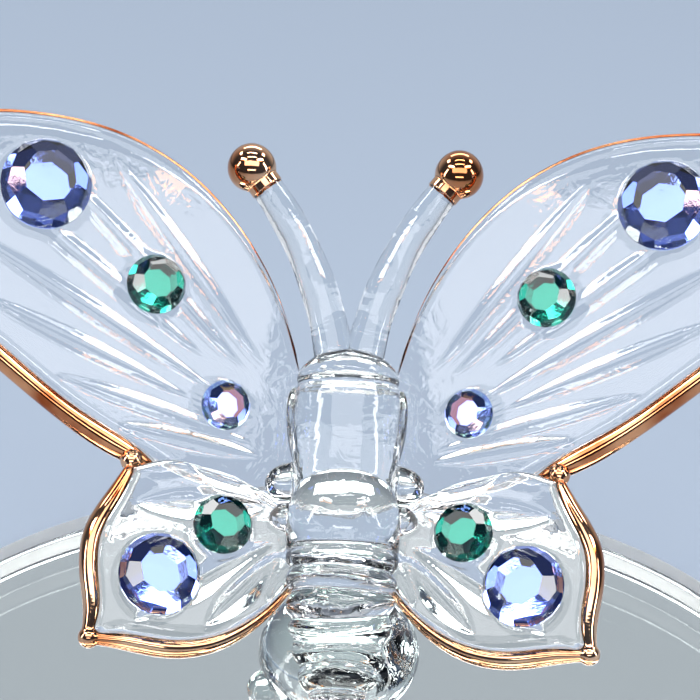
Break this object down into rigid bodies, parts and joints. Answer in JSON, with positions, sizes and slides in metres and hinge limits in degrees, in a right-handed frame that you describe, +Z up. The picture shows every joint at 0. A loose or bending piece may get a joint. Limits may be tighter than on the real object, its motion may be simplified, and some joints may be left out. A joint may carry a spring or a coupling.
{
  "type": "butterfly ornament",
  "caption": "Lamp-worked clear glass butterfly with fluted cupped wings, gilt wing rims and faceted stones, on a ball foot and a round mirror base.",
  "frame": {"origin": "centre of the felt pad's underside, on the surface that the ornament stands on", "axes": "+Z up, +X to the butterfly's right-hand wing as seen from its back, -Y towards the viewer, on the side where the abdomen hangs"},
  "size_m": [0.0762, 0.0762, 0.0501],
  "materials": {
    "clear_glass": "clear, fire-polished",
    "gold_lustre": "bright copper-gold lustre",
    "blue_stone": "cut, foil-backed sapphire blue",
    "green_stone": "cut, foil-backed emerald green",
    "iridescent_stone": "cut blue with an iridescent film",
    "foil": "bright metal foil",
    "clear_glue": "clear, set glue",
    "mirror_pane": "polished plate",
    "silvering": "silvered back",
    "felt": "black felt"
  },
  "bodies": {
    "root": {"felt_pad": "felt", "mirror_silvering": "silvering", "mirror_glass": "mirror_pane", "foot_ball": "clear_glass", "foot_bead_left": "clear_glass", "foot_bead_front": "clear_glass", "foot_bead_back": "clear_glass", "abdomen": "clear_glass", "thorax": "clear_glass", "antenna_left": "clear_glass", "antenna_right": "clear_glass", "antenna_tip_left": "gold_lustre", "antenna_tip_right": "gold_lustre", "forewing_left": "clear_glass", "forewing_right": "clear_glass", "forewing_rim_left": "gold_lustre", "forewing_rim_right": "gold_lustre", "hindwing_left": "clear_glass", "hindwing_right": "clear_glass", "hindwing_rim_left": "gold_lustre", "hindwing_rim_right": "gold_lustre", "stone_blue_large_left": "blue_stone", "stone_blue_large_right": "blue_stone", "stone_green_upper_left": "green_stone", "stone_green_upper_right": "green_stone", "stone_blue_small_left": "iridescent_stone", "stone_blue_small_right": "iridescent_stone", "stone_green_lower_left": "green_stone", "stone_green_lower_right": "green_stone", "stone_blue_middle_left": "blue_stone", "stone_blue_middle_right": "blue_stone", "stone_foils": "foil", "stone_glue": "clear_glue"}
  },
  "joints": []
}
